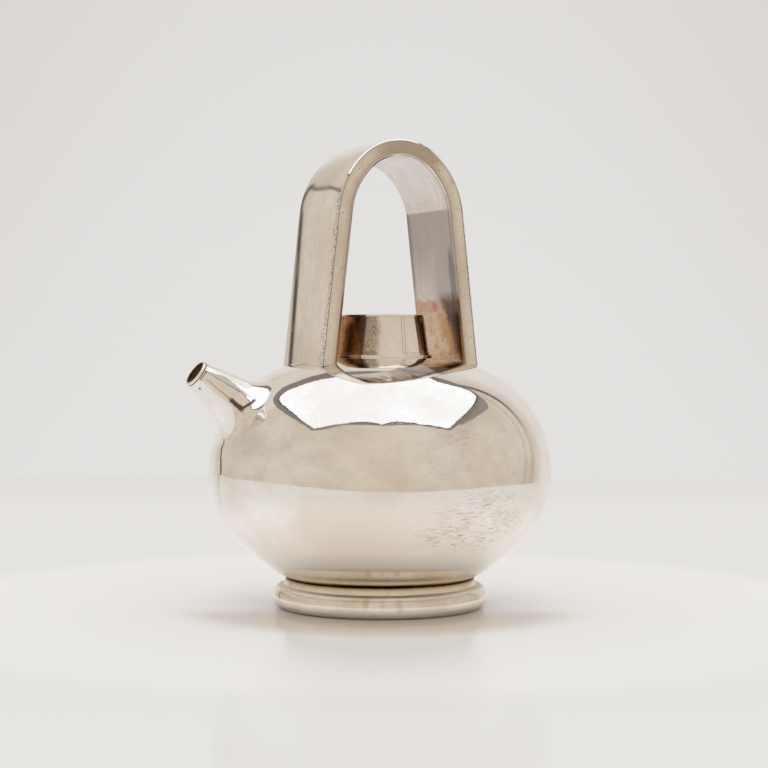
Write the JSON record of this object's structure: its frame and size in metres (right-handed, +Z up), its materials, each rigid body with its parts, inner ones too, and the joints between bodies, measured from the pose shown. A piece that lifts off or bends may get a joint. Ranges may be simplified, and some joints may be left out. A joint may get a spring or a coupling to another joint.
{
  "type": "teapot",
  "caption": "Flattened round teapot on a ring foot, with a short tapered spout, a drum-shaped lift-off lid and a hollow strap handle arching over the lid, for brewing and pouring tea.",
  "frame": {"origin": "centre of the foot ring on the table, on the pot's axis", "axes": "+Z up along the pot's axis; the spout points along -X; the handle arches in the XZ plane, its strap wide along Y"},
  "size_m": [0.1532, 0.14, 0.1892],
  "materials": {
    "pot_silver": "polished silver, faint hammer waviness and fine scratches",
    "foot_silver": "polished silver, warm, tarnished in the crease",
    "handle_silver": "polished silver, brown tarnish stains on the inner faces",
    "lid_silver": "polished silver, pitted",
    "inside_silver": "satin silver, dull inside the pot"
  },
  "bodies": {
    "pot": {"bowl": "pot_silver", "shoulder": "pot_silver", "foot_band": "foot_silver", "foot_bead": "foot_silver", "neck_collar": "inside_silver", "lid_seat": "pot_silver", "spout": "pot_silver", "spout_lip": "pot_silver", "strainer": "inside_silver", "handle_outer_band": "handle_silver", "handle_inner_band": "handle_silver", "handle_front_plate": "handle_silver", "handle_rear_plate": "handle_silver"},
    "lid": {"lid_wall": "lid_silver", "lid_top": "lid_silver", "lid_base": "lid_silver", "lid_bezel": "inside_silver"}
  },
  "joints": [
    {"name": "lid_lift", "type": "slide", "parent": "pot", "child": "lid", "axis": [0, 0, 1], "range_m": [0, 0.048]}
  ]
}
